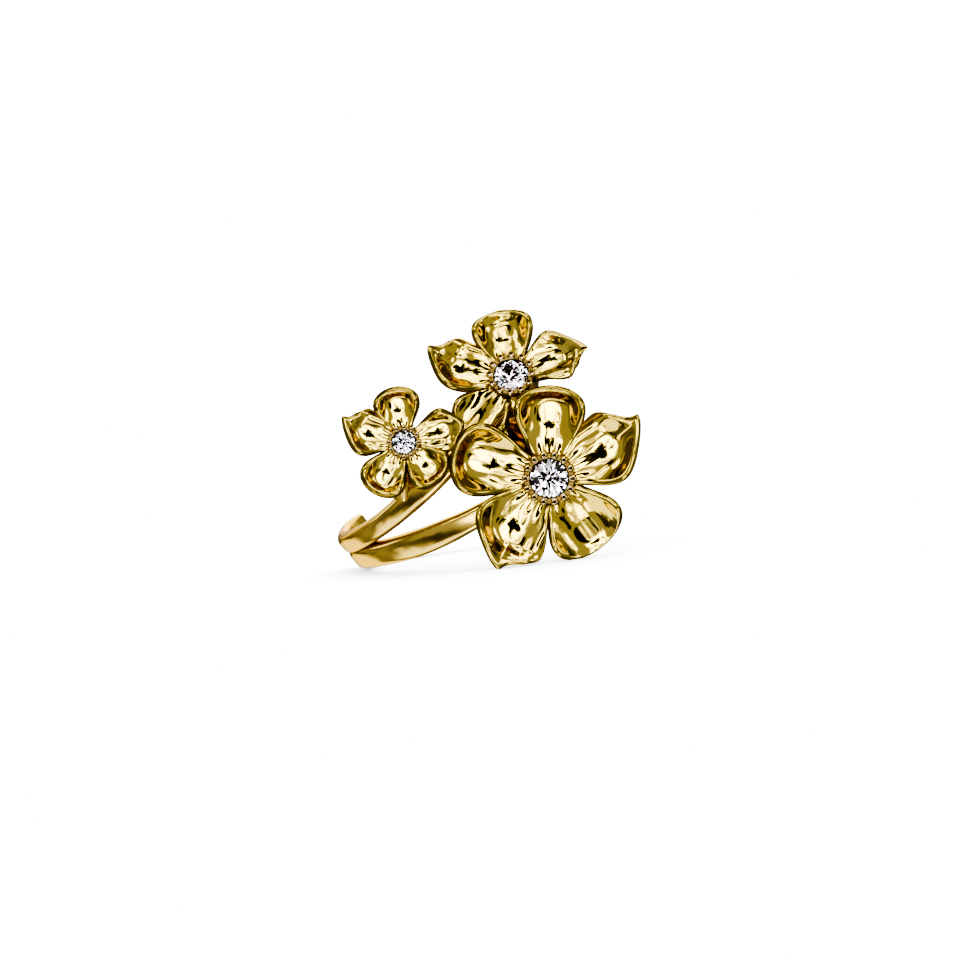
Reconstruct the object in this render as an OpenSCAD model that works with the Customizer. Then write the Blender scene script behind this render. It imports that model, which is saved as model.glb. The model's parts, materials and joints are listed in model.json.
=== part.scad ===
// Gold ring with three five-petalled flowers on a split band.
// It is drawn in the head-on frame: x to the right, y up, z out of the flowers'
// faces, with the middle of the finger hole as the origin. The last step lays
// the whole ring down on a table, as it lies by itself.

/* [Finger and band] */
// Radius of the finger hole
finger_r = 8.65; // [8.2:0.05:9.4]
// Thickness of the band's two wires, from the finger outwards
wire_t = 1.1; // [0.9:0.05:1.4]
// How much wider the finger hole is on both sides of its narrow middle
hole_ease = 0.02; // [0.01:0.01:0.05]
// Turn of the band's plane about the line of sight
band_turn = 41; // [35:1:47]
// Tip of the finger hole's axis out of the head-on plane
band_tip = 4.7; // [3:0.1:7]
// Diameter of the stem that carries the small flower
stem_d = 1.2; // [0.8:0.1:1.4]

/* [Flowers] */
// Diameter of the large stone
stone_l = 2.5; // [2.2:0.1:2.8]
// Diameter of the medium stone
stone_m = 2.2; // [2:0.1:2.4]
// Diameter of the small stone
stone_s = 1.5; // [1.3:0.1:1.7]
// Thickness of a petal
petal_t = 0.5; // [0.4:0.05:0.6]
// Depth of a petal's hollow, as a share of its half width
cup = 0.42; // [0.3:0.02:0.5]
// Clearance between a stone and the metal
seat_gap = 0.04; // [0.03:0.01:0.08]

/* [How it lies] */
// Roll in the head-on plane
lie_roll = -6.04; // [-30:0.01:30]
// Tip of the flowers' faces upwards
lie_tip = 4.0; // [0:0.01:20]
// Height of the finger hole's middle above the table
lie_z = 6.94; // [6:0.001:10]
// Finger hole's middle from the middle of the footprint, to the right
lie_x = -1.93; // [-5:0.01:5]
// Finger hole's middle from the middle of the footprint, to the back
lie_y = 0.89; // [-5:0.01:5]

/* [Hidden] */

// Wires: angle round the finger, shift along the finger, half width.
// 90 degrees is the side that faces out of the head-on plane.
ANGLE = 0; SHIFT = 1; HALF = 2;
long_wire = [
    [66, 4.35, 0.6], [78, 3.9, 0.65], [90, 3.5, 0.7], [104, 3.05, 0.77],
    [112, 2.75, 0.85], [121, 2.4, 0.9], [130, 2.03, 0.93], [143, 1.5, 0.88],
    [158, 1.0, 0.85], [180, 0.83, 0.82], [192, 1.2, 0.75], [205, 1.8, 0.68],
    [217, 2.5, 0.62], [230, 3.25, 0.58], [243, 3.95, 0.58], [256, 4.6, 0.6],
    [270, 5.1, 0.6], [300, 5.8, 0.6], [330, 6.2, 0.6], [360, 6.2, 0.6],
    [390, 5.4, 0.6], [426, 4.35, 0.6],
];
short_wire = [
    [50, -2.35, 0.6], [75, -1.3, 0.75], [95, -0.75, 0.82], [112, -0.55, 0.85],
    [125, -0.42, 0.78], [138, -0.37, 0.74], [158, -0.4, 0.74], [180, -0.45, 0.69],
    [209, -0.46, 0.66], [212, -0.46, 0.56],
];

// Flowers: centre of the petals' roots, lean of the face and the way it leans,
// stone diameter, number of beads, bead radius.
AT = 0; LEAN = 1; LEAN_TO = 2; STONE = 3; BEADS = 4; BEAD_R = 5;
large = [[6.12, -1.48, 10.1], 0, 0, stone_l, 14, 0.27];
medium = [[3.66, 5.12, 9], 28, 103, stone_m, 12, 0.25];
small = [[-3.48, 0.92, 9.9], 0, 0, stone_s, 12, 0.18];

// Petals: direction, length from the stone's axis, width, where it is widest,
// sideways flick of the tip, how pointed its two sides end, how far the edge
// is rolled back on its two sides, rise of the mid line. "Left" and "right"
// look outwards from the stone.
TURN = 0; LEN = 1; WIDE = 2; PEAK = 3; FLICK = 4; TIP_L = 5; TIP_R = 6; ROLL_L = 7; ROLL_R = 8; RISE = 9;
large_petals = [
    [89.5, 6.05, 4.6, 0.74, 0, 0, 0, 0, 0, 0.14],
    [25.5, 7.15, 4.75, 0.62, 1.25, 1, 0.5, 1, 0, 0.15],
    [-53, 5.75, 5.2, 0.72, 0, 0, 0, 0, 0, -0.22],
    [-128, 6.85, 5.2, 0.66, 1, 1, 0.5, 0.8, 0, 0.15],
    [165, 6.6, 4.75, 0.72, 0, 0, 0, 0, 0, 0.14],
];
medium_petals = [
    [101, 4.85, 3.95, 0.7, 0, 0, 0, 0, 0, 0.14],
    [168, 5.75, 3.9, 0.64, -0.65, 0.5, 1, 0, 1, 0.26],
    [29.5, 5.3, 3.5, 0.64, -0.95, 0.5, 1, 0, 0.8, 0.15],
    [232, 4.9, 3.9, 0.7, 0, 0, 0, 0, 0, -0.2],
    [-66, 5.0, 4.2, 0.7, 0, 0, 0, 0, 0, -0.42],
];
small_petals = [
    [101, 3.6, 2.9, 0.7, 0, 0, 0, 0, 0, 0.14],
    [168, 4.35, 2.95, 0.62, -0.8, 0.5, 1, 0, 1, 0.15],
    [17, 4.15, 2.75, 0.66, 0, 0.5, 0.5, 0, 0.6, 0.1],
    [-46, 3.45, 2.9, 0.7, 0, 0, 0, 0, 0, 0.14],
    [240, 3.85, 2.95, 0.7, 0, 0, 0, 0, 0, 0.14],
];

// Half width of a petal at its root, and steps along and across it
root_share = 0.4;
rows = 8;
columns = 8;

// Steps round a wire's section and between its sections
wire_sides = 10;
wire_step = 9;

// Stone, as shares of its diameter
table_share = 0.57;
crown_share = 0.15;
girdle_share = 0.03;
pavilion_share = 0.43;
lower_share = 0.12;

// Setting: height of the beads over the petals' roots and depth of the calyx
// below them, as shares of the stone's diameter
bead_share = 0.3;
calyx_share = 0.62;
// Throat: the dish that closes the gaps between the petals' roots
throat_share = 0.8;

gold = [0.86, 0.66, 0.27];
crystal = [0.9, 0.94, 0.98];

function clamp01(v) = min(1, max(0, v));
function ease(v) = let (c = clamp01(v)) c * c * (3 - 2 * c);
function column(table, c) = [for (row = table) [row[ANGLE], row[c]]];

// Share of a petal's half width at the place s along it: it swells from the
// root to its widest place, and closes round or to a flicked point.
function swell(petal, s) = root_share + (1 - root_share) * pow(ease(s / petal[PEAK]), 1.2);
function closing(v, tip) =
    (1 - tip) * sqrt(max(0, 1 - pow(v, 2.4)))
        + tip * (0.87 * (1 + cos(180 * v)) / 2 + 0.13 * sqrt(max(0, 1 - pow(v, 8))));
function half_share(petal, s, tip) =
    s < petal[PEAK] ? swell(petal, s)
        : closing(clamp01((s - petal[PEAK]) / (1 - petal[PEAK])), tip);
function half_width(petal, s, t) =
    petal[WIDE] / 2 * half_share(petal, s, t > 0 ? petal[TIP_L] : petal[TIP_R]);

// 0 on a petal's outline and 1 on its mid line where it is widest
function inset(petal, s, t) =
    let (share = half_width(petal, s, t) / (petal[WIDE] / 2)) share * share * (1 - t * t);

// Height of a petal's middle surface: a spoon whose edge may be rolled back
function spoon(petal, s, t) =
    let (
        half = petal[WIDE] / 2,
        x = t * half_width(petal, s, t) / half,
        roll = t > 0 ? petal[ROLL_L] : petal[ROLL_R],
        over = max(0, abs(x) - 0.62) / 0.38
    )
    cup * half * (x * x - roll * 1.5 * over * over) * ease(s * 2.5)
        + petal[LEN] * (petal[RISE] * s * s - 0.05 * sin(180 * s));

function petal_mid(petal, s, t) =
    let (
        along = s * petal[LEN],
        across = t * half_width(petal, s, t) + petal[FLICK] * pow(s, 4),
        turn = petal[TURN]
    )
    [along * cos(turn) - across * sin(turn), along * sin(turn) + across * cos(turn),
        spoon(petal, s, t)];

// A point on a petal's face (side 1) or back (side -1)
function petal_skin(petal, s, t, side) =
    let (
        d = 0.02,
        inner_s = min(s, 0.97),
        inner_t = max(-0.96, min(0.96, t)),
        along = petal_mid(petal, inner_s + d, inner_t) - petal_mid(petal, inner_s - d, inner_t),
        across = petal_mid(petal, inner_s, inner_t + d) - petal_mid(petal, inner_s, inner_t - d),
        normal = cross(along, across),
        thick = petal_t * min(1, sqrt(3 * inset(petal, s, t)))
    )
    petal_mid(petal, s, t) + side * thick / 2 * normal / norm(normal);

// Places along a petal and across it, close together where its outline turns
function petal_s(petal, start, i) =
    let (v = i / rows, bend = 0.55)
    v < bend ? start + (petal[PEAK] - start) * v / bend
        : petal[PEAK] + (1 - petal[PEAK]) * sin(90 * (v - bend) / (1 - bend));
function petal_t_at(j) = sin(180 * j / columns - 90);

// One petal as a closed shell. Its face and its back share the outline.
module petal(petal, start) {
    tip = rows * (columns + 1);
    face = [for (i = [0 : rows - 1], j = [0 : columns])
        petal_skin(petal, petal_s(petal, start, i), petal_t_at(j), 1)];
    back = [for (i = [0 : rows - 1], j = [1 : columns - 1])
        petal_skin(petal, petal_s(petal, start, i), petal_t_at(j), -1)];
    function f(i, j) = i * (columns + 1) + j;
    function b(i, j) = j == 0 || j == columns ? f(i, j) : tip + i * (columns - 1) + j;
    polyhedron(
        points = concat(face, [petal_mid(petal, 1, 0)], back),
        faces = concat(
            [for (i = [0 : rows - 2], j = [0 : columns - 1]) each [
                [f(i, j), f(i, j + 1), f(i + 1, j + 1)],
                [f(i, j), f(i + 1, j + 1), f(i + 1, j)],
                [b(i, j), b(i + 1, j + 1), b(i, j + 1)],
                [b(i, j), b(i + 1, j), b(i + 1, j + 1)],
            ]],
            [for (j = [0 : columns - 1]) each [
                [f(rows - 1, j), f(rows - 1, j + 1), tip],
                [b(rows - 1, j), tip, b(rows - 1, j + 1)],
                if (j > 0) [f(0, j + 1), f(0, j), b(0, j)],
                if (j < columns - 1) [f(0, j + 1), b(0, j), b(0, j + 1)],
            ]]
        )
    );
}

// Radius of the ring of beads round a stone
function bead_ring(flower) = flower[STONE] / 2 + flower[BEAD_R] + 0.06;

// Moves a flower's parts, drawn round its stone's axis, to its place
module at_flower(flower) {
    translate(flower[AT])
        rotate(a = flower[LEAN], v = [-sin(flower[LEAN_TO]), cos(flower[LEAN_TO]), 0])
            children();
}

// Height of a stone's girdle over the petals' roots
function girdle_z(flower) = flower[STONE] * bead_share - 0.12;

// Cup and calyx below the stone, and the beads that hold it
module setting(flower) {
    d = flower[STONE];
    ring_r = bead_ring(flower);
    bead_z = d * bead_share;
    r = d / 2 + seat_gap;
    girdle = girdle_z(flower) - d * girdle_share;
    difference() {
        rotate_extrude($fn = 24) polygon([
            [0, -d * calyx_share], [0.5, -d * calyx_share], [ring_r - 0.1, -0.5],
            [d * throat_share, -0.75], [d * throat_share, -0.5], [ring_r, 0.05],
            [ring_r + flower[BEAD_R] * 0.4, bead_z], [0, bead_z],
        ]);
        rotate_extrude($fn = 24) polygon([
            [0, girdle - d * pavilion_share - 2 * seat_gap], [r + 0.02, girdle - seat_gap],
            [r + 0.02, bead_z + 0.1], [0, bead_z + 0.1],
        ]);
    }
    for (k = [0 : flower[BEADS] - 1])
        rotate(360 * k / flower[BEADS])
            translate([ring_r, 0, bead_z + 0.03]) sphere(r = flower[BEAD_R], $fn = 10);
}

module flower(flower, petals) {
    at_flower(flower) {
        setting(flower);
        for (p = petals) petal(p, bead_ring(flower) * 0.9 / p[LEN]);
    }
}

// A brilliant with its girdle at z = 0: table, 8 stars, 8 kites and 16 upper
// facets, and 16 lower facets and 8 mains below
module brilliant(d) {
    r = d / 2;
    top = d * crown_share;
    low = -d * girdle_share;
    tip = low - d * pavilion_share;
    table_r = r * table_share;
    kite_r = (r + table_r) / 2 / cos(22.5) * 0.98;
    kite_z = top * (r - kite_r * cos(22.5)) / (r - table_r);
    low_r = r * lower_share * 2;
    low_z = tip + (low - tip) * low_r * cos(22.5) / r;
    function ring(n, radius, z, turn) =
        [for (k = [0 : n - 1]) [radius * cos(360 * k / n + turn), radius * sin(360 * k / n + turn), z]];
    points = concat(
        ring(8, table_r, top, 0), ring(8, kite_r, kite_z, 22.5), ring(16, r, 0, 0),
        ring(16, r, low, 0), ring(8, low_r, low_z, 22.5), [[0, 0, tip]]
    );
    function table(k) = k % 8;
    function kite(k) = 8 + (k + 8) % 8;
    function upper(k) = 16 + (k + 16) % 16;
    function lower(k) = 32 + (k + 16) % 16;
    function main(k) = 48 + (k + 8) % 8;
    polyhedron(
        points = points,
        faces = concat(
            [[for (k = [7 : -1 : 0]) table(k)]],
            [for (k = [0 : 7]) each [
                [table(k), table(k + 1), kite(k)],
                [table(k), kite(k), upper(2 * k)], [table(k), upper(2 * k), kite(k - 1)],
                [kite(k), upper(2 * k + 1), upper(2 * k)],
                [kite(k), upper(2 * k + 2), upper(2 * k + 1)],
                [main(k), lower(2 * k), lower(2 * k + 1)],
                [main(k), lower(2 * k + 1), lower(2 * k + 2)],
                [lower(2 * k), main(k), 56], [lower(2 * k), 56, main(k - 1)],
            ]],
            [for (k = [0 : 15]) each [
                [upper(k), upper(k + 1), lower(k + 1)], [upper(k), lower(k + 1), lower(k)],
            ]]
        )
    );
}

// One wire of the band, round the z axis: a closed loop where it spans 360
// degrees, else with a flat end each way. Its inner side reaches a little into
// the finger hole, which is bored through it last.
module wire(table) {
    span = table[len(table) - 1][ANGLE] - table[0][ANGLE];
    steps = ceil(span / wire_step);
    rings = span == 360 ? steps : steps + 1;
    shift = column(table, SHIFT);
    half = column(table, HALF);
    mid_r = finger_r + wire_t * 0.35;
    function angle(i) = table[0][ANGLE] + span * i / steps;
    function square_off(v) = sign(v) * pow(abs(v), 0.6);
    function section(a) = [for (k = [0 : wire_sides - 1])
        let (
            turn = 360 * k / wire_sides,
            r = mid_r + square_off(sin(turn)) * (sin(turn) > 0 ? wire_t * 0.65 : wire_t * 0.35 + 0.3),
            across = lookup(a, shift) + lookup(a, half) * square_off(cos(turn))
        )
        [r * cos(a), r * sin(a), across]];
    function point(i, k) = i % rings * wire_sides + k % wire_sides;
    ends = span == 360 ? [] : [
        [for (k = [0 : wire_sides - 1]) point(0, k)],
        [for (k = [wire_sides - 1 : -1 : 0]) point(steps, k)],
    ];
    polyhedron(
        points = [for (i = [0 : rings - 1]) each section(angle(i))],
        faces = concat(ends, [for (i = [0 : steps - 1], k = [0 : wire_sides - 1]) each [
            [point(i, k), point(i + 1, k), point(i + 1, k + 1)],
            [point(i, k), point(i + 1, k + 1), point(i, k + 1)],
        ]])
    );
}

module in_band_plane() {
    rotate([90 + band_tip, 0, band_turn]) children();
}

// Stem from the short wire to the back of the small flower
module stem() {
    foot = [-3.6, -2.8, 8.3];
    head = small[AT] - [0, 0.57, 0.65];
    run = head - foot;
    translate(foot)
        rotate([0, acos(run.z / norm(run)), atan2(run.y, run.x)])
            cylinder(d = stem_d, h = norm(run), $fn = 12);
}

// Lays the ring down as it rests on a table
module lie() {
    translate([lie_x, lie_y, lie_z]) rotate([90 - lie_tip, 0, 0]) rotate([0, 0, lie_roll]) children();
}

// The two wires, joined and bored round. The hole is narrowest in its middle,
// between the two places given along the finger.
module band() {
    middle = [1.2, 1.8];
    in_band_plane() difference() {
        resize([0, 0, 0]) {
            wire(long_wire);
            wire(short_wire);
        }
        cylinder(r = finger_r, h = 24, center = true, $fn = 72);
        translate([0, 0, middle[1]]) cylinder(r = finger_r + hole_ease, h = 12, $fn = 72);
        translate([0, 0, middle[0] - 12]) cylinder(r = finger_r + hole_ease, h = 12, $fn = 72);
    }
}

// Flowers, settings and band are one soldered piece of metal. A resize that
// changes nothing joins each group's many small faces as one mesh.
module flowers_and_band() {
    color(gold) lie() {
        band();
        resize([0, 0, 0]) {
            flower(large, large_petals);
            flower(medium, medium_petals);
            flower(small, small_petals);
            stem();
        }
    }
}

module stone(flower) {
    color(crystal) lie() at_flower(flower)
        translate([0, 0, girdle_z(flower)]) brilliant(flower[STONE]);
}

module stone_large() { stone(large); }
module stone_medium() { stone(medium); }
module stone_small() { stone(small); }

flowers_and_band();
stone_large();
stone_medium();
stone_small();
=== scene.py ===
"""Gold ring with three five-petalled flowers on a split band, lying on a pale floor.

Shapes are worked out in millimetres in the head-on frame (x right, y up, z out of
the flowers' faces, origin in the middle of the finger hole) and then laid down.
"""
import json
import math
from collections import namedtuple

import bmesh
import bpy
import numpy as np
from mathutils import Matrix, Vector


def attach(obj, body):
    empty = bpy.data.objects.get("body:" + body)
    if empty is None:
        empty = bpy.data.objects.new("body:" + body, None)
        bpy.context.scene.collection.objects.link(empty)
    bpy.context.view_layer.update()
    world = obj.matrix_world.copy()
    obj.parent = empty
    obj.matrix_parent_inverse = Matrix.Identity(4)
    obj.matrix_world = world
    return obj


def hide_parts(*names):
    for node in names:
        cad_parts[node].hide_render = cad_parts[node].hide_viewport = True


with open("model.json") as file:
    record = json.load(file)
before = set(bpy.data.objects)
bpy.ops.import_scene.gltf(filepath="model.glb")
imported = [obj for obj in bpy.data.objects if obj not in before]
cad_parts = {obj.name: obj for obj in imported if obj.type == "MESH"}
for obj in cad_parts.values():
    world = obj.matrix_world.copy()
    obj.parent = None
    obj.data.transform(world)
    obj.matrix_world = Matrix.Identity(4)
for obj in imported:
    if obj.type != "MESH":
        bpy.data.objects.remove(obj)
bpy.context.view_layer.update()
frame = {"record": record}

MM = 0.001

# Finger hole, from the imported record: its radius, and its middle in the part's frame
hole = frame["record"]["mounts"][0]
FINGER_R = hole["dims"]["r_mm"]
LIE_AT = np.array(hole["pos_m"]) / MM
# How the ring lies: roll in the head-on plane, then tip of the faces upwards
LIE_ROLL = -6.04
LIE_TIP = 4.0

# Band: the wires' thickness, the turn of the band's plane about the line of sight,
# and the tip of the finger hole's axis out of the head-on plane
WIRE_T = 1.1
BAND_TURN = 41
BAND_TIP = 4.7
# Wire section: share of its thickness on the finger side of its widest place, how far it
# would reach into the finger hole, how far clear of the hole it is cut flat instead, and
# the power that squares it off. Then its sides, and the degrees between sections.
INNER_SHARE = 0.35
INNER_REACH = 0.03
HOLE_CLEAR = 0.003
SQUARE_POWER = 0.6
WIRE_SIDES = 40
WIRE_STEP = 1.5

# Angle round the finger, shift along it and half width of each wire
Section = namedtuple("Section", "angle shift half")
LONG_WIRE = [Section(*row) for row in (
    (66, 4.35, 0.6), (78, 3.9, 0.65), (90, 3.5, 0.7), (104, 3.05, 0.77), (112, 2.75, 0.85),
    (121, 2.4, 0.9), (130, 2.03, 0.93), (143, 1.5, 0.88), (158, 1.0, 0.85), (180, 0.83, 0.82),
    (192, 1.2, 0.75), (205, 1.8, 0.68), (217, 2.5, 0.62), (230, 3.25, 0.58), (243, 3.95, 0.58),
    (256, 4.6, 0.6), (270, 5.1, 0.6), (300, 5.8, 0.6), (330, 6.2, 0.6), (360, 6.2, 0.6),
    (390, 5.4, 0.6), (426, 4.35, 0.6),
)]
SHORT_WIRE = [Section(*row) for row in (
    (50, -2.35, 0.6), (75, -1.3, 0.75), (95, -0.75, 0.82), (112, -0.55, 0.85), (125, -0.42, 0.78),
    (138, -0.37, 0.74), (158, -0.4, 0.74), (180, -0.45, 0.69), (209, -0.46, 0.66), (212, -0.46, 0.56),
)]

# Stem from the short wire to the small flower: diameter, foot, where its head lies from
# the flower's middle, chamfer
STEM_D = 1.2
STEM_FOOT = (-3.6, -2.8, 8.3)
STEM_HEAD = (0, -0.57, -0.65)
STEM_CHAMFER = 0.08
STEM_SIDES = 48

# Middle of the petals' roots, lean and its direction, stone diameter, beads, bead radius
Flower = namedtuple("Flower", "at lean lean_to stone beads bead_r")
FLOWERS = {
    "large": Flower((6.12, -1.48, 10.1), 0, 0, 2.5, 14, 0.27),
    "medium": Flower((3.66, 5.12, 9), 28, 103, 2.2, 12, 0.25),
    "small": Flower((-3.48, 0.92, 9.9), 0, 0, 1.5, 12, 0.18),
}

# Direction, length from the stone's axis, width, widest place, sideways flick of the tip,
# how pointed and how far rolled back the two sides are, rise of the mid line
Petal = namedtuple("Petal", "turn length width peak flick tip_left tip_right roll_left roll_right rise")
PETALS = {
    "large": (
        Petal(89.5, 6.05, 4.6, 0.74, 0, 0, 0, 0, 0, 0.14),
        Petal(25.5, 7.15, 4.75, 0.62, 1.25, 1, 0.5, 1, 0, 0.15),
        Petal(-53, 5.75, 5.2, 0.72, 0, 0, 0, 0, 0, -0.22),
        Petal(-128, 6.85, 5.2, 0.66, 1, 1, 0.5, 0.8, 0, 0.15),
        Petal(165, 6.6, 4.75, 0.72, 0, 0, 0, 0, 0, 0.14),
    ),
    "medium": (
        Petal(101, 4.85, 3.95, 0.7, 0, 0, 0, 0, 0, 0.14),
        Petal(168, 5.75, 3.9, 0.64, -0.65, 0.5, 1, 0, 1, 0.26),
        Petal(29.5, 5.3, 3.5, 0.64, -0.95, 0.5, 1, 0, 0.8, 0.15),
        Petal(232, 4.9, 3.9, 0.7, 0, 0, 0, 0, 0, -0.2),
        Petal(-66, 5.0, 4.2, 0.7, 0, 0, 0, 0, 0, -0.42),
    ),
    "small": (
        Petal(101, 3.6, 2.9, 0.7, 0, 0, 0, 0, 0, 0.14),
        Petal(168, 4.35, 2.95, 0.62, -0.8, 0.5, 1, 0, 1, 0.15),
        Petal(17, 4.15, 2.75, 0.66, 0, 0.5, 0.5, 0, 0.6, 0.1),
        Petal(-46, 3.45, 2.9, 0.7, 0, 0, 0, 0, 0, 0.14),
        Petal(240, 3.85, 2.95, 0.7, 0, 0, 0, 0, 0, 0.14),
    ),
}
PETAL_T = 0.5

# Petal outline: half width at the root as a share, power of the swell up to the widest place,
# power of a round end, and for a pointed end its drawn-out share and the power of the rest
ROOT_SHARE = 0.4
SWELL_POWER = 1.2
ROUND_POWER = 2.4
DRAWN_SHARE = 0.87
BLUNT_POWER = 8

# Petal form: where it starts as a share of the bead ring's radius, the sag of its mid line as a
# share of its length, the depth of its cup as a share of its half width, how much of that is a
# plain bowl, where along the petal it is full, where across it a rolled edge starts, and how
# deep that rolls as a share of the cup
ROOT_START = 0.9
SAG = 0.05
CUP = 0.42
BOWL_SHARE = 0.45
CUP_FULL = 0.4
ROLL_FROM = 0.62
ROLL_DEPTH = 1.5

# Fine relief that the solids leave out, in mm on a petal of RELIEF_WIDTH: the spoon hollow,
# how far its floor is levelled where the petal climbs past CLIMB_FROM, how far in and along
# the floor is reached, and the flutes at the root with where they start and fade
RELIEF_WIDTH = 4.6
HOLLOW = 0.2
LEVEL = 0.6
CLIMB_FROM = 0.35
FLOOR_INSET = 0.9
FLOOR_RUN = 0.4
FLUTE = 0.045
FLUTES = 5
FLUTE_IN = 0.06
FLUTE_FROM = 0.18
FLUTE_OUT = 0.32

# Petal mesh: rows and columns, share of the rows below the widest place, how fast the edge
# reaches its full thickness, and how far in from the outline the colour is painted darker as shade
ROWS, COLUMNS = 56, 40
ROWS_BELOW_PEAK = 0.6
EDGE_RATE = 10
RIM_SHADE_REACH = 0.17

# Stone, as shares of its diameter, its clearance from the metal, and how far its girdle lies
# below the setting's rim
TABLE_SHARE, CROWN_SHARE, GIRDLE_SHARE, PAVILION_SHARE, LOWER_SHARE = 0.57, 0.15, 0.03, 0.43, 0.12
SEAT_GAP = 0.04
GIRDLE_DROP = 0.12
GIRDLE_SIDES = 96

# Setting: height of the rim, depth of the calyx and reach of the throat as shares of the
# stone's diameter, the gap between stone and beads, and how far the beads lie over the rim
RIM_SHARE = 0.3
CALYX_SHARE = 0.62
THROAT_SHARE = 0.8
BEAD_GAP = 0.06
BEAD_LIFT = 0.03
SEAT_SIDES = 64
# Faces of each strip that are recessed and get a darker gold as painted shade, from the throat's upper
# side to the seat
SHADED_RECESS_FACES = 7

# Bead: sides, rings, the share of the half turn from its foot to its dent, and the dent's
# points as shares of its mouth, with depths in bead radii
BEAD_SIDES = 20
BEAD_RINGS = 12
DENT_FROM = 0.86
DENT = ((0.85, 0.08), (0.5, 0.2), (0, 0.26))
# Faces of each bead's dent that get a near-black gold as painted shade
SHADED_DENT_FACES = 3

# Angles in degrees between faces above which an edge is sharp, and 0 for flat facets
PETAL_SHARP, SETTING_SHARP, ROUND_SHARP, FACETED = 60, 35, 50, 0

# Gold: share of its deep tone that is painted along a petal's outline as shade, and the tint
# of its mirror at grazing angles
RIM_SHADE_TONE = 0.42
GRAZING = (1.0, 0.78, 0.42)
WHITE = (1, 1, 1, 1)


# Places
def turn_x(degrees):
    return np.array(Matrix.Rotation(math.radians(degrees), 3, "X"))


def turn_z(degrees):
    return np.array(Matrix.Rotation(math.radians(degrees), 3, "Z"))


LIE = turn_x(90 - LIE_TIP) @ turn_z(LIE_ROLL)
BAND = turn_z(BAND_TURN) @ turn_x(90 + BAND_TIP)


def laid(points):
    """Head-on millimetres to metres in the part's frame, with nothing below the floor."""
    placed = (np.asarray(points, float) @ LIE.T + LIE_AT) * MM
    return np.where([False, False, True], np.maximum(placed, 0), placed)


def at_flower(flower, points):
    """Moves points drawn round a stone's axis to their flower's place."""
    way = math.radians(flower.lean_to)
    axis = Vector((-math.sin(way), math.cos(way), 0))
    turn = np.array(Matrix.Rotation(math.radians(flower.lean), 3, axis))
    return np.asarray(points, float) @ turn.T + flower.at


# Meshes
class Shape:
    """Collects closed shells, in head-on millimetres, into one object. Each point has a value
    from 0 to 1 that says how near it is to a petal's outline, where the gold paints shade."""

    def __init__(self):
        self.points, self.faces, self.edge, self.count = [], [], [], 0

    def add(self, points, faces, edge=None):
        self.points.append(np.asarray(points, float))
        self.edge.append(np.zeros(len(points)) if edge is None else edge)
        self.faces += [[i + self.count for i in f] for f in faces]
        self.count += len(points)

    def build(self, name, material, sharp):
        mesh = bpy.data.meshes.new(name)
        mesh.from_pydata([tuple(p) for p in laid(np.vstack(self.points))], [], self.faces)
        mesh.polygons.foreach_set("use_smooth", [sharp != FACETED] * len(mesh.polygons))
        if sharp != FACETED:
            mesh.set_sharp_from_angle(angle=math.radians(sharp))
        # How near each point is to a petal's outline, which the gold turns into painted shade
        edge = mesh.attributes.new("edge", "FLOAT", "POINT")
        edge.data.foreach_set("value", np.concatenate(self.edge))
        mesh.update()
        obj = bpy.data.objects.new(name, mesh)
        bpy.context.scene.collection.objects.link(obj)
        mesh.materials.append(material)
        return obj


def lathe(profile, sides):
    """A closed profile of (r, z), both ends on the axis, turned round z. Its faces come in
    strips, one for each side, from the profile's first point to its last."""
    points, faces = [(0, 0, profile[0][1])], []
    inner = profile[1:-1]
    for r, z in inner:
        for k in range(sides):
            a = 2 * math.pi * k / sides
            points.append((r * math.cos(a), r * math.sin(a), z))
    points.append((0, 0, profile[-1][1]))
    last = len(points) - 1
    for k in range(sides):
        m = (k + 1) % sides
        faces.append([0, 1 + m, 1 + k])
        for i in range(len(inner) - 1):
            a = 1 + i * sides
            faces.append([a + k, a + m, a + sides + m, a + sides + k])
        a = 1 + (len(inner) - 1) * sides
        faces.append([a + k, a + m, last])
    return points, faces


def ease(v):
    v = np.clip(v, 0, 1)
    return v * v * (3 - 2 * v)


# Petals. s runs along a petal from 0 at the stone's axis to 1 at the tip, and t across it
# from -1 to 1.
def closing(v, tip):
    """Share of the half width from the widest place, v = 0, to the end: round or pointed."""
    rounded = np.sqrt(np.maximum(0, 1 - v ** ROUND_POWER))
    blunt = np.sqrt(np.maximum(0, 1 - v ** BLUNT_POWER))
    pointed = DRAWN_SHARE * (1 + np.cos(np.pi * v)) / 2 + (1 - DRAWN_SHARE) * blunt
    return (1 - tip) * rounded + tip * pointed


def half_share(form, s, t):
    """A petal's half width at s as a share of its widest, on the side that t is on."""
    tip = np.where(t > 0, form.tip_left, form.tip_right)
    swell = ROOT_SHARE + (1 - ROOT_SHARE) * ease(s / form.peak) ** SWELL_POWER
    past = np.clip((s - form.peak) / (1 - form.peak), 0, 1)
    return np.where(s < form.peak, swell, closing(past, tip))


def inset(form, s, t):
    """0 on a petal's outline, 1 on its mid line where it is widest."""
    return half_share(form, s, t) ** 2 * (1 - t * t)


def rise_at(form, s):
    return form.length * (form.rise * s * s - SAG * np.sin(np.pi * s))


def relief(form, s, t, start):
    """A spoon hollow whose floor is levelled where the petal climbs, and flutes that run out
    of the root."""
    scale = form.width / RELIEF_WIDTH
    climb = np.maximum(0, rise_at(form, s) - rise_at(form, CLIMB_FROM))
    floor = ease(inset(form, s, t) / FLOOR_INSET) * ease((s - start) / FLOOR_RUN)
    fade = ease((s - start) / FLUTE_IN) * (1 - ease((s - FLUTE_FROM) / FLUTE_OUT))
    flute = FLUTE * scale * fade * np.cos(FLUTES * np.pi * t)
    return flute - (HOLLOW * scale + LEVEL * climb) * floor


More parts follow.
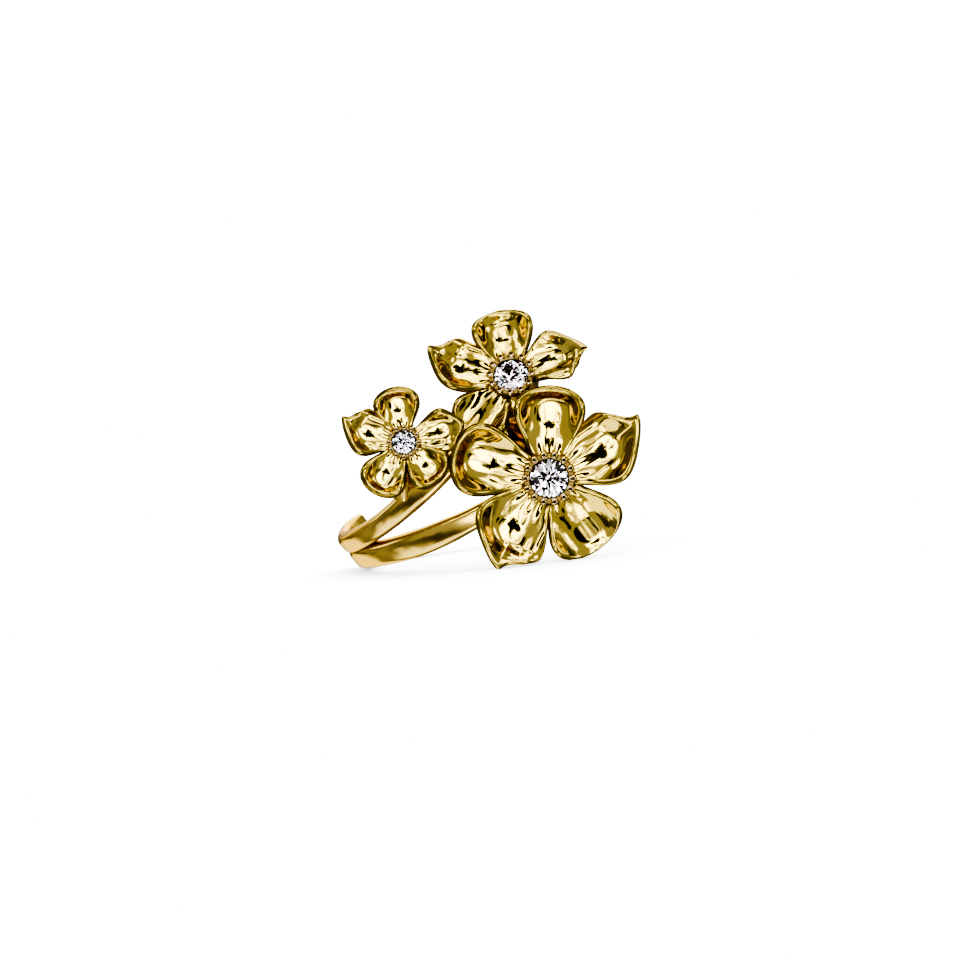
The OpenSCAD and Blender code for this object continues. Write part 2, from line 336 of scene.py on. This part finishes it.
def petal_mid(form, s, t, start):
    """Points halfway between a petal's face and its back."""
    half = form.width / 2
    x = t * half_share(form, s, t)
    roll = np.where(t > 0, form.roll_left, form.roll_right)
    over = np.maximum(0, np.abs(x) - ROLL_FROM) / (1 - ROLL_FROM)
    bowl = BOWL_SHARE * x * x + (1 - BOWL_SHARE) * x ** 4
    z = CUP * half * (bowl - roll * ROLL_DEPTH * over * over) * ease(s / CUP_FULL)
    z = z + rise_at(form, s) + relief(form, s, t, start)
    along, across = s * form.length, x * half + form.flick * s ** 4
    a = math.radians(form.turn)
    return np.stack([along * math.cos(a) - across * math.sin(a),
                     along * math.sin(a) + across * math.cos(a), z], -1)


def petal_skin(form, s, t, start, side):
    """Points on a petal's face (side 1) or back (side -1). Its slopes are read a small step
    either way, and no nearer to the outline than `last`."""
    step, last = 0.01, 0.985
    inner_s, inner_t = np.minimum(s, last), np.clip(t, -last, last)
    along = (petal_mid(form, inner_s + step, inner_t, start)
             - petal_mid(form, inner_s - step, inner_t, start))
    across = (petal_mid(form, inner_s, inner_t + step, start)
              - petal_mid(form, inner_s, inner_t - step, start))
    normal = np.cross(along, across)
    normal /= np.linalg.norm(normal, axis=-1, keepdims=True)
    thick = PETAL_T * np.minimum(1, np.sqrt(EDGE_RATE * inset(form, s, t)))
    return petal_mid(form, s, t, start) + side * thick[..., None] / 2 * normal


def petal(flower, form):
    """One petal as a closed shell: its face and its back share the outline."""
    start = bead_ring(flower) * ROOT_START / form.length
    v = np.arange(ROWS) / ROWS
    below = start + (form.peak - start) * v / ROWS_BELOW_PEAK
    past = np.sin(np.pi / 2 * (v - ROWS_BELOW_PEAK) / (1 - ROWS_BELOW_PEAK))
    s = np.where(v < ROWS_BELOW_PEAK, below, form.peak + (1 - form.peak) * past)
    t = np.sin(np.pi * np.arange(COLUMNS + 1) / COLUMNS - np.pi / 2)
    s, t = np.meshgrid(s, t, indexing="ij")
    face = petal_skin(form, s, t, start, 1).reshape(-1, 3)
    back = petal_skin(form, s, t, start, -1)[:, 1:-1].reshape(-1, 3)
    tip = petal_mid(form, np.array([1.0]), np.array([0.0]), start)
    n = COLUMNS + 1
    far = len(face)

    def f(i, j):
        return i * n + j

    def b(i, j):
        return f(i, j) if j in (0, COLUMNS) else far + 1 + i * (n - 2) + j - 1

    faces = []
    for i in range(ROWS - 1):
        for j in range(COLUMNS):
            faces.append([f(i, j), f(i + 1, j), f(i + 1, j + 1), f(i, j + 1)])
            faces.append([b(i, j), b(i, j + 1), b(i + 1, j + 1), b(i + 1, j)])
    for j in range(COLUMNS):
        faces.append([f(ROWS - 1, j), far, f(ROWS - 1, j + 1)])
        faces.append([b(ROWS - 1, j), b(ROWS - 1, j + 1), far])
    faces.append([f(0, j) for j in range(n)] + [b(0, j) for j in range(COLUMNS - 1, 0, -1)])
    # Painted shade: the gold is darkened within this reach of the outline
    near = 1 - ease(inset(form, s, t) / RIM_SHADE_REACH)
    edge = np.concatenate([near.ravel(), [1], near[:, 1:-1].ravel()])
    return at_flower(flower, np.vstack([face, tip, back])), faces, edge


# Settings
def bead_ring(flower):
    """Radius of the ring of beads round a stone."""
    return flower.stone / 2 + flower.bead_r + BEAD_GAP


def girdle_z(flower):
    """Height of a stone's girdle over the petals' roots."""
    return flower.stone * RIM_SHARE - GIRDLE_DROP


def setting(flower):
    """Calyx, throat, cup and seat below a stone, as one turned shape."""
    d = flower.stone
    ring_r, rim_z = bead_ring(flower), d * RIM_SHARE
    foot_z, throat_r = -d * CALYX_SHARE, d * THROAT_SHARE
    rim_r = ring_r + flower.bead_r * 0.4
    seat_r = d / 2 + SEAT_GAP + 0.02
    low = girdle_z(flower) - d * GIRDLE_SHARE
    calyx = [(0, foot_z), (0.46, foot_z), (0.5, foot_z + 0.04), (ring_r - 0.1, -0.5)]
    throat = [(throat_r - 0.05, -0.75), (throat_r, -0.6), (throat_r - 0.05, -0.5), (ring_r, 0.05)]
    cup = [(rim_r, rim_z - 0.06), (rim_r - 0.05, rim_z), (seat_r + 0.06, rim_z), (seat_r, rim_z - 0.05)]
    seat = [(seat_r, low - SEAT_GAP), (0, low - d * PAVILION_SHARE - 2 * SEAT_GAP)]
    return lathe(calyx + throat + cup + seat, SEAT_SIDES)


def bead(radius, at):
    """A ball with the small dent that the beading tool leaves on top."""
    arc = [(radius * math.sin(a), -radius * math.cos(a))
           for a in np.linspace(0, math.pi * DENT_FROM, BEAD_RINGS)]
    mouth, height = arc[-1]
    dent = [(mouth * share, height - radius * depth) for share, depth in DENT]
    points, faces = lathe(arc + dent, BEAD_SIDES)
    return np.array(points) + at, faces


# Band
def smooth_column(table, column, angles):
    """A cubic through the table's rows, with the slope at each taken from its neighbours."""
    x = np.array([row.angle for row in table], float)
    y = np.array([getattr(row, column) for row in table], float)
    slope = np.gradient(y, x)
    i = np.clip(np.searchsorted(x, angles) - 1, 0, len(x) - 2)
    h = x[i + 1] - x[i]
    u = np.clip((angles - x[i]) / h, 0, 1)
    return ((2 * u ** 3 - 3 * u ** 2 + 1) * y[i] + (u ** 3 - 2 * u ** 2 + u) * h * slope[i]
            + (-2 * u ** 3 + 3 * u ** 2) * y[i + 1] + (u ** 3 - u ** 2) * h * slope[i + 1])


def square_off(v):
    return np.sign(v) * np.abs(v) ** SQUARE_POWER


def wire(table):
    """One wire of the band, flat on its finger side. A table of a full turn closes into a loop."""
    first, last = table[0].angle, table[-1].angle
    closed = last - first == 360
    angles = np.arange(first, last + (-WIRE_STEP if closed else WIRE_STEP) / 2, WIRE_STEP)
    shift, half = smooth_column(table, "shift", angles), smooth_column(table, "half", angles)
    turn = 2 * np.pi * np.arange(WIRE_SIDES) / WIRE_SIDES
    out, across = square_off(np.sin(turn)), square_off(np.cos(turn))
    outer, inner = WIRE_T * (1 - INNER_SHARE), WIRE_T * INNER_SHARE
    r = FINGER_R + inner + np.where(out > 0, outer, inner + INNER_REACH) * out
    r = np.maximum(r, FINGER_R + HOLE_CLEAR)
    points = np.vstack([np.stack([r * math.cos(a), r * math.sin(a), middle + wide * across], -1)
                        for a, middle, wide in zip(np.radians(angles), shift, half)]) @ BAND.T
    n, sides = len(angles), WIRE_SIDES
    faces = [] if closed else [list(range(sides))[::-1], [(n - 1) * sides + k for k in range(sides)]]
    for i in range(n if closed else n - 1):
        this, after = i * sides, (i + 1) % n * sides
        for k in range(sides):
            m = (k + 1) % sides
            faces.append([this + k, this + m, after + m, after + k])
    return points, faces


def stem():
    """Post from the short wire to the back of the small flower, with a chamfered head."""
    foot = np.array(STEM_FOOT)
    run = np.array(FLOWERS["small"].at) + STEM_HEAD - foot
    length, r = np.linalg.norm(run), STEM_D / 2
    turn = np.array(Vector(run).to_track_quat("Z", "Y").to_matrix())
    head = [(r, length - STEM_CHAMFER), (r - STEM_CHAMFER, length), (0, length)]
    points, faces = lathe([(0, 0), (r, 0)] + head, STEM_SIDES)
    return np.array(points) @ turn.T + foot, faces


# Stones
def cut_facet(bm, a, b, c):
    """Cuts away what lies outside the plane through three points, seen from a place on the
    stone's axis that is inside every facet."""
    a, b, c = Vector(a), Vector(b), Vector(c)
    inside = Vector((0, 0, -0.3 * a.length))
    normal = (b - a).cross(c - a).normalized()
    if normal.dot(a - inside) < 0:
        normal = -normal
    cut = bmesh.ops.bisect_plane(bm, geom=bm.verts[:] + bm.edges[:] + bm.faces[:], dist=1e-6,
                                 plane_co=a, plane_no=normal, clear_outer=True)
    edges = [e for e in cut["geom_cut"] if isinstance(e, bmesh.types.BMEdge)]
    if len(edges) > 2:
        bmesh.ops.contextual_create(bm, geom=edges)


def brilliant(flower):
    """A round brilliant: 33 facets over a scalloped girdle and 24 below it."""
    d = flower.stone
    r = d / 2
    top, low = d * CROWN_SHARE, -d * GIRDLE_SHARE
    tip = low - d * PAVILION_SHARE
    eighth = 45
    flat = math.cos(math.radians(eighth / 2))
    table_r = r * TABLE_SHARE
    kite_r = (r + table_r) / 2 / flat * 0.98
    kite_z = top * (r - kite_r * flat) / (r - table_r)
    low_r = r * LOWER_SHARE * 2
    low_z = tip + (low - tip) * low_r * flat / r

    def at(radius, z, degrees):
        a = math.radians(degrees)
        return (radius * math.cos(a), radius * math.sin(a), z)

    bm = bmesh.new()
    bmesh.ops.create_cone(bm, cap_ends=True, segments=GIRDLE_SIDES, radius1=r, radius2=r, depth=top - tip,
                          matrix=Matrix.Translation((0, 0, (top + tip) / 2)))
    for k in range(8):
        a = eighth * k
        before, middle, after = a - eighth / 2, a + eighth / 2, a + eighth
        table, kite, main = at(table_r, top, a), at(kite_r, kite_z, middle), at(low_r, low_z, middle)
        cut_facet(bm, table, kite, at(kite_r, kite_z, before))
        cut_facet(bm, table, at(table_r, top, after), kite)
        cut_facet(bm, kite, at(r, 0, a), at(r, 0, middle))
        cut_facet(bm, kite, at(r, 0, middle), at(r, 0, after))
        cut_facet(bm, (0, 0, tip), main, at(low_r, low_z, before))
        cut_facet(bm, main, at(r, low, a), at(r, low, middle))
        cut_facet(bm, main, at(r, low, middle), at(r, low, after))
    bmesh.ops.recalc_face_normals(bm, faces=bm.faces[:])
    bm.verts.index_update()
    points = [(v.co.x, v.co.y, v.co.z + girdle_z(flower)) for v in bm.verts]
    faces = [[v.index for v in f.verts] for f in bm.faces]
    bm.free()
    return at_flower(flower, points), faces


# Nodes
def cleared(owner):
    """The empty node tree of a material or world."""
    owner.use_nodes = True
    owner.node_tree.nodes.clear()
    return owner.node_tree


def add(tree, kind, inputs=(), **values):
    """A node with its settings. An input is a value or another node's output."""
    node = tree.nodes.new(kind)
    for key, value in values.items():
        setattr(node, key, value)
    for key, value in dict(inputs).items():
        if isinstance(value, bpy.types.NodeSocket):
            tree.links.new(value, node.inputs[key])
        else:
            node.inputs[key].default_value = value
    return node


def object_place(tree):
    return add(tree, "ShaderNodeTexCoord").outputs["Object"]


def scaled(tree, vector, scale):
    return add(tree, "ShaderNodeMapping", {"Vector": vector, "Scale": scale}).outputs["Vector"]


def object_mm(tree):
    return scaled(tree, object_place(tree), (1 / MM, 1 / MM, 1 / MM))


def noise(tree, vector, scale, detail):
    return add(tree, "ShaderNodeTexNoise", {"Vector": vector, "Scale": scale, "Detail": detail}).outputs


def cell_colour(tree, vector, scale):
    """Three random values for each cell of a Voronoi pattern."""
    cells = add(tree, "ShaderNodeTexVoronoi", {"Vector": vector, "Scale": scale}).outputs["Color"]
    return add(tree, "ShaderNodeSeparateColor", {"Color": cells}).outputs


def remap(tree, value, start, end, **settings):
    """Maps the range `start` to the range `end`, and holds values outside it at its ends."""
    return add(tree, "ShaderNodeMapRange", {
        "Value": value, "From Min": start[0], "From Max": start[1],
        "To Min": end[0], "To Max": end[1]}, **settings).outputs["Result"]


def ramp(tree, value, stops):
    """A colour ramp through stops of (position, colour)."""
    node = add(tree, "ShaderNodeValToRGB", {"Fac": value})
    elements = node.color_ramp.elements
    for position, _ in stops[1:-1]:
        elements.new(position)
    for element, (position, colour) in zip(elements, stops):
        element.position = position
        element.color = (*colour, 1)
    return node.outputs["Color"]


def bump(tree, height, strength, depth, **under):
    """Bump of a depth in mm, over another normal where one is given."""
    return add(tree, "ShaderNodeBump", {
        "Height": height, "Strength": strength, "Distance": depth * MM, **under}).outputs["Normal"]


def maths(tree, operation, first, second):
    return add(tree, "ShaderNodeMath", {0: first, 1: second}, operation=operation).outputs[0]


def vector_maths(tree, operation, inputs):
    return add(tree, "ShaderNodeVectorMath", inputs, operation=operation).outputs


def mix_shaders(tree, factor, first, second):
    return add(tree, "ShaderNodeMixShader", {0: factor, 1: first, 2: second}).outputs[0]


# Materials
def gold_material(name, deep, light, gloss):
    """Yellow gold: slightly uneven colour between deep and light, painted shade along the petals'
    edges, soft wear in the gloss, a low unevenness and hair-fine polishing marks."""
    material = bpy.data.materials.new(name)
    tree = cleared(material)
    mm = object_mm(tree)
    cloud = noise(tree, mm, 0.35, 3.0)["Fac"]
    tone = ramp(tree, cloud, ((0.3, deep), (0.7, light)))
    # Painted shade along the petals' outlines: a darker copy of the deep tone
    painted_rim_shade_colour = (*[RIM_SHADE_TONE * c for c in deep], 1)
    edge = add(tree, "ShaderNodeAttribute", attribute_name="edge").outputs["Fac"]
    colour = add(tree, "ShaderNodeMix", {0: edge, 6: tone, 7: painted_rim_shade_colour}, data_type="RGBA").outputs[2]
    wear = noise(tree, mm, 1.6, 5.0)["Fac"]
    rough = remap(tree, wear, (0.3, 0.75), gloss)
    marks = noise(tree, scaled(tree, mm, (3, 26, 9)), 1.0, 2.0)["Fac"]
    hammer = noise(tree, mm, 0.65, 1.0)["Fac"]
    uneven = bump(tree, hammer, 0.5, 0.05)
    normal = bump(tree, marks, 0.2, 0.0015, Normal=uneven)
    shader = add(tree, "ShaderNodeBsdfPrincipled", {
        "Base Color": colour, "Roughness": rough, "Normal": normal, "Metallic": 1.0,
        "Specular Tint": (*GRAZING, 1)})
    add(tree, "ShaderNodeOutputMaterial", {"Surface": shader.outputs[0]})
    return material


def stone_material():
    """Clear brilliant, with faint warm and cool tints painted from facet to facet as the coloured fire
    that dispersion throws.
    """
    material = bpy.data.materials.new("clear_brilliant")
    tree = cleared(material)
    # Painted fire: each cell of the pattern gets a warm, white or cool tint
    fire_cell = cell_colour(tree, object_mm(tree), 2.5)[0]
    tint = ramp(tree, fire_cell, ((0, (0.8, 0.88, 1)), (0.5, (1, 1, 1)), (1, (1, 0.84, 0.9))))
    shader = add(tree, "ShaderNodeBsdfPrincipled", {
        "Base Color": tint, "Roughness": 0.0, "IOR": 2.3, "Transmission Weight": 1.0})
    add(tree, "ShaderNodeOutputMaterial", {"Surface": shader.outputs[0]})
    return material


def floor_material():
    """Pale satin table: matt white with a faint, even mirror of what stands on it."""
    material = bpy.data.materials.new("pale_table")
    tree = cleared(material)
    grain = noise(tree, object_place(tree), 900.0, 2.0)["Fac"]
    shade = remap(tree, grain, (0, 1), (0.79, 0.8))
    grey = add(tree, "ShaderNodeCombineColor", {"Red": shade, "Green": shade, "Blue": shade}).outputs[0]
    matt = add(tree, "ShaderNodeBsdfDiffuse", {"Color": grey}).outputs[0]
    gloss = add(tree, "ShaderNodeBsdfGlossy", {"Color": WHITE, "Roughness": 0.06}).outputs[0]
    add(tree, "ShaderNodeOutputMaterial", {"Surface": mix_shaders(tree, 0.06, matt, gloss)})
    return material


gold = gold_material("polished_gold", (0.86, 0.64, 0.14), (0.92, 0.71, 0.19), gloss=(0.04, 0.1))
bead_gold = gold_material("bead_gold", (0.93, 0.74, 0.36), (0.97, 0.8, 0.44), gloss=(0.14, 0.22))
# Darker, rougher gold painted into the settings' recesses round the stones as shade
recess_shade_gold = gold_material("recess_shade_gold", (0.3, 0.22, 0.07), (0.42, 0.31, 0.11), gloss=(0.25, 0.4))
# Near-black gold painted into the beads' dents as shade
dent_shade_gold = gold_material("dent_shade_gold", (0.06, 0.035, 0.01), (0.1, 0.06, 0.015), gloss=(0.3, 0.5))
band_gold = gold_material("band_gold", (0.97, 0.68, 0.17), (1.0, 0.74, 0.21), gloss=(0.14, 0.22))
crystal = stone_material()


# Pieces
def piece(shape, name, material, node, sharp):
    obj = shape.build(name, material, sharp)
    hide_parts(node)
    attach(obj, "root")
    return obj


def gold_piece(shape, name, material, sharp):
    return piece(shape, name, material, "flowers_and_band", sharp)


def second_finish(obj, material, strips, last):
    """Gives the last faces of every strip of a turned shape another material."""
    obj.data.materials.append(material)
    strip = len(obj.data.polygons) // strips
    for face in obj.data.polygons:
        face.material_index = int(face.index % strip >= strip - last)


def flower_pieces(name, flower, forms):
    """Petals, setting, beads and stone of one flower."""
    petals, seat, beads, gem = Shape(), Shape(), Shape(), Shape()
    for form in forms:
        petals.add(*petal(flower, form))
    points, faces = setting(flower)
    seat.add(at_flower(flower, points), faces)
    ring_r, bead_z = bead_ring(flower), flower.stone * RIM_SHARE + BEAD_LIFT
    for k in range(flower.beads):
        a = 2 * math.pi * k / flower.beads
        points, faces = bead(flower.bead_r, (ring_r * math.cos(a), ring_r * math.sin(a), bead_z))
        beads.add(at_flower(flower, points), faces)
    gem.add(*brilliant(flower))
    gold_piece(petals, name + "_petals", gold, PETAL_SHARP)
    turned = gold_piece(seat, name + "_setting", band_gold, SETTING_SHARP)
    # The recessed faces get the darker gold as painted shade
    second_finish(turned, recess_shade_gold, SEAT_SIDES, SHADED_RECESS_FACES)
    dented = gold_piece(beads, name + "_beads", bead_gold, ROUND_SHARP)
    # The dents get the near-black gold as painted shade
    second_finish(dented, dent_shade_gold, flower.beads * BEAD_SIDES, SHADED_DENT_FACES)
    piece(gem, name + "_brilliant", crystal, "stone_" + name, FACETED)


def band_pieces():
    """The two wires as one piece, and the small flower's stem."""
    band, post = Shape(), Shape()
    band.add(*wire(LONG_WIRE))
    band.add(*wire(SHORT_WIRE))
    gold_piece(band, "split_band", band_gold, ROUND_SHARP)
    post.add(*stem())
    gold_piece(post, "small_flower_stem", band_gold, ROUND_SHARP)


# Floor
def stage_floor():
    """A wide floor, hidden from rays that metal mirrors and from those through a stone."""
    reach = 4
    mesh = bpy.data.meshes.new("floor")
    mesh.from_pydata([(-reach, -reach, 0), (reach, -reach, 0), (reach, reach, 0), (-reach, reach, 0)],
                     [], [(0, 1, 2, 3)])
    mesh.materials.append(floor_material())
    obj = bpy.data.objects.new("floor", mesh)
    bpy.context.scene.collection.objects.link(obj)
    obj.visible_glossy = obj.visible_transmission = False


# What the metal mirrors, seen from the ring: to the right and up in degrees from the camera's
# side, half angle, soft edge, brightness. Later rows lie over earlier ones, so flags come last.
Light = namedtuple("Light", "right up half soft brightness")
LIGHTS = [Light(*row) for row in (
    (0, 0, 72, 16, 0.33),
    (-4, 55, 18, 10, 3.8),
    (-1, -1, 23, 12, 4.9),
    (-58, 38, 12, 5, 3.8),
    (62, 16, 11, 5, 3.8),
    (14, -60, 12, 5, 3.2),
    (24, -34, 10, 4, 3.8),
    (20, 84, 16, 6, 3.0),
    (-105, 12, 10, 5, 1.6),
    (104, 30, 10, 5, 1.6),
    (96, -14, 14, 8, 0.6),
    (-80, -66, 22, 6, 1.3),
    (-20, -64, 14, 6, 1.3),
    (-158, -30, 22, 8, 1.2),
    (-150, 22, 16, 8, 0.9),
    (168, 44, 24, 10, 1.5),
    (140, 4, 14, 8, 0.8),
    (180, 24, 16, 8, 1.9),
    (-26, -41, 9, 5, 0.06),
    (-42, -40, 9, 5, 0.04),
    (-60, -39, 9, 5, 0.08),
    (-78, -38, 8, 5, 0.12),
    (-24, 27, 9, 3, 0.0),
    (25, -9, 7, 3, 0.0),
    (11, -28, 5, 3, 0.0),
    (44, -16, 6, 3, 0.0),
    (1, 53, 9, 2, 0.0),
    (-20, 54, 6, 2, 0.0),
    (2, 1, 11, 2, 0.0),
    (-17, -3, 4, 2, 0.0),
)]
# Darkest and brightest of the tent behind them
TENT = (0.06, 0.3)
# Rows brighter than BOX_FROM are cloth boxes, and in its folds the cloth has FOLD of its light
BOX_FROM = 2
FOLD = 0.28
# How far the direction looked in is shaken
RUFFLE = 0.4
# Share that is left of light that has been mirrored more than once, which leaves the gaps
# between petals dark
DEEP_LIGHT = 0.36
# Darkest and brightest of the panes that show through the stones, and the plain white that
# the camera and the floor see
PANES = (0.01, 4.8)
PLAIN = 5.6


def bent_ray(tree, straight):
    """The direction looked in, shaken a little so that the boxes' edges aren't straight."""
    ruffle = noise(tree, straight, 9.0, 3.0)["Color"]
    offset = vector_maths(tree, "SUBTRACT", {0: ruffle, 1: (0.5, 0.5, 0.5)})[0]
    push = vector_maths(tree, "SCALE", {0: offset, 3: RUFFLE})[0]
    bent = vector_maths(tree, "ADD", {0: straight, 1: push})[0]
    return vector_maths(tree, "NORMALIZE", {0: bent})[0]


def lit(tree, value, light, ray, folds):
    """Lays one box or flag over what is painted so far."""
    brightness = light.brightness
    if brightness > BOX_FROM:
        brightness = maths(tree, "MULTIPLY", folds, brightness)
    right, up = math.radians(light.right), math.radians(light.up)
    axis = LIE @ (math.sin(right) * math.cos(up), math.sin(up), math.cos(right) * math.cos(up))
    near = vector_maths(tree, "DOT_PRODUCT", {0: ray, 1: tuple(axis)})["Value"]
    edge = [math.cos(math.radians(light.half + side * light.soft / 2)) for side in (1, -1)]
    inside = remap(tree, near, edge, (0, 1), interpolation_type="SMOOTHSTEP")
    return add(tree, "ShaderNodeMix", {0: inside, 2: value, 3: brightness}, data_type="FLOAT").outputs[0]


def glitter_background(tree, straight):
    """Small bright and dark panes with warm and cool tints."""
    pane = cell_colour(tree, straight, 6.5)
    bright = remap(tree, pane[0], (0.42, 0.66), PANES)
    tint = ramp(tree, pane[1], ((0, (1, 0.72, 0.86)), (0.5, (1, 1, 1)), (1, (0.66, 0.84, 1))))
    return add(tree, "ShaderNodeBackground", {"Strength": bright, "Color": tint}).outputs[0]


def studio():
    """Softboxes with folds in their cloth and black flags in a dim tent, painted by direction.
    Light that has been mirrored more than once is dimmed. Panes show through the stones, and
    the camera and the floor see plain white."""
    world = bpy.data.worlds.new("studio")
    bpy.context.scene.world = world
    tree = cleared(world)
    straight = add(tree, "ShaderNodeTexCoord").outputs["Generated"]
    ray = bent_ray(tree, straight)
    mottle = noise(tree, straight, 3.0, 2.0)["Fac"]
    value = remap(tree, mottle, (0.35, 0.65), TENT)
    cloth = noise(tree, straight, 6.0, 2.0)["Fac"]
    folds = remap(tree, cloth, (0.4, 0.5), (FOLD, 1.0))
    for light in LIGHTS:
        value = lit(tree, value, light, ray, folds)
    path = add(tree, "ShaderNodeLightPath").outputs
    kept = remap(tree, path["Ray Depth"], (2.0, 3.0), (1.0, DEEP_LIGHT))
    value = maths(tree, "MULTIPLY", value, kept)
    tent = add(tree, "ShaderNodeBackground", {"Strength": value, "Color": WHITE}).outputs[0]
    plain = add(tree, "ShaderNodeBackground", {"Strength": PLAIN, "Color": WHITE}).outputs[0]
    glitter = glitter_background(tree, straight)
    indirect = mix_shaders(tree, path["Is Transmission Ray"], tent, glitter)
    direct = maths(tree, "MAXIMUM", path["Is Camera Ray"], path["Is Diffuse Ray"])
    add(tree, "ShaderNodeOutputWorld", {"Surface": mix_shaders(tree, direct, indirect, plain)})


def camera():
    """Looks straight at the flowers' faces from far off: 64 mm across the frame."""
    away, across = 1200.0, 64.0
    right, up = 1.553, -1.58
    data = bpy.data.cameras.new("camera")
    data.sensor_width = 36
    data.lens = data.sensor_width * away / across
    data.clip_start, data.clip_end = 0.1, 10
    obj = bpy.data.objects.new("camera", data)
    bpy.context.scene.collection.objects.link(obj)
    place = Matrix(LIE.tolist()).to_4x4()
    place.translation = laid([(right, up, away)])[0]
    obj.matrix_world = place
    bpy.context.scene.camera = obj


for name, flower in FLOWERS.items():
    flower_pieces(name, flower, PETALS[name])
band_pieces()
stage_floor()
studio()
camera()
view = bpy.context.scene.view_settings
view.view_transform = "AgX"
view.look = "AgX - Very High Contrast"
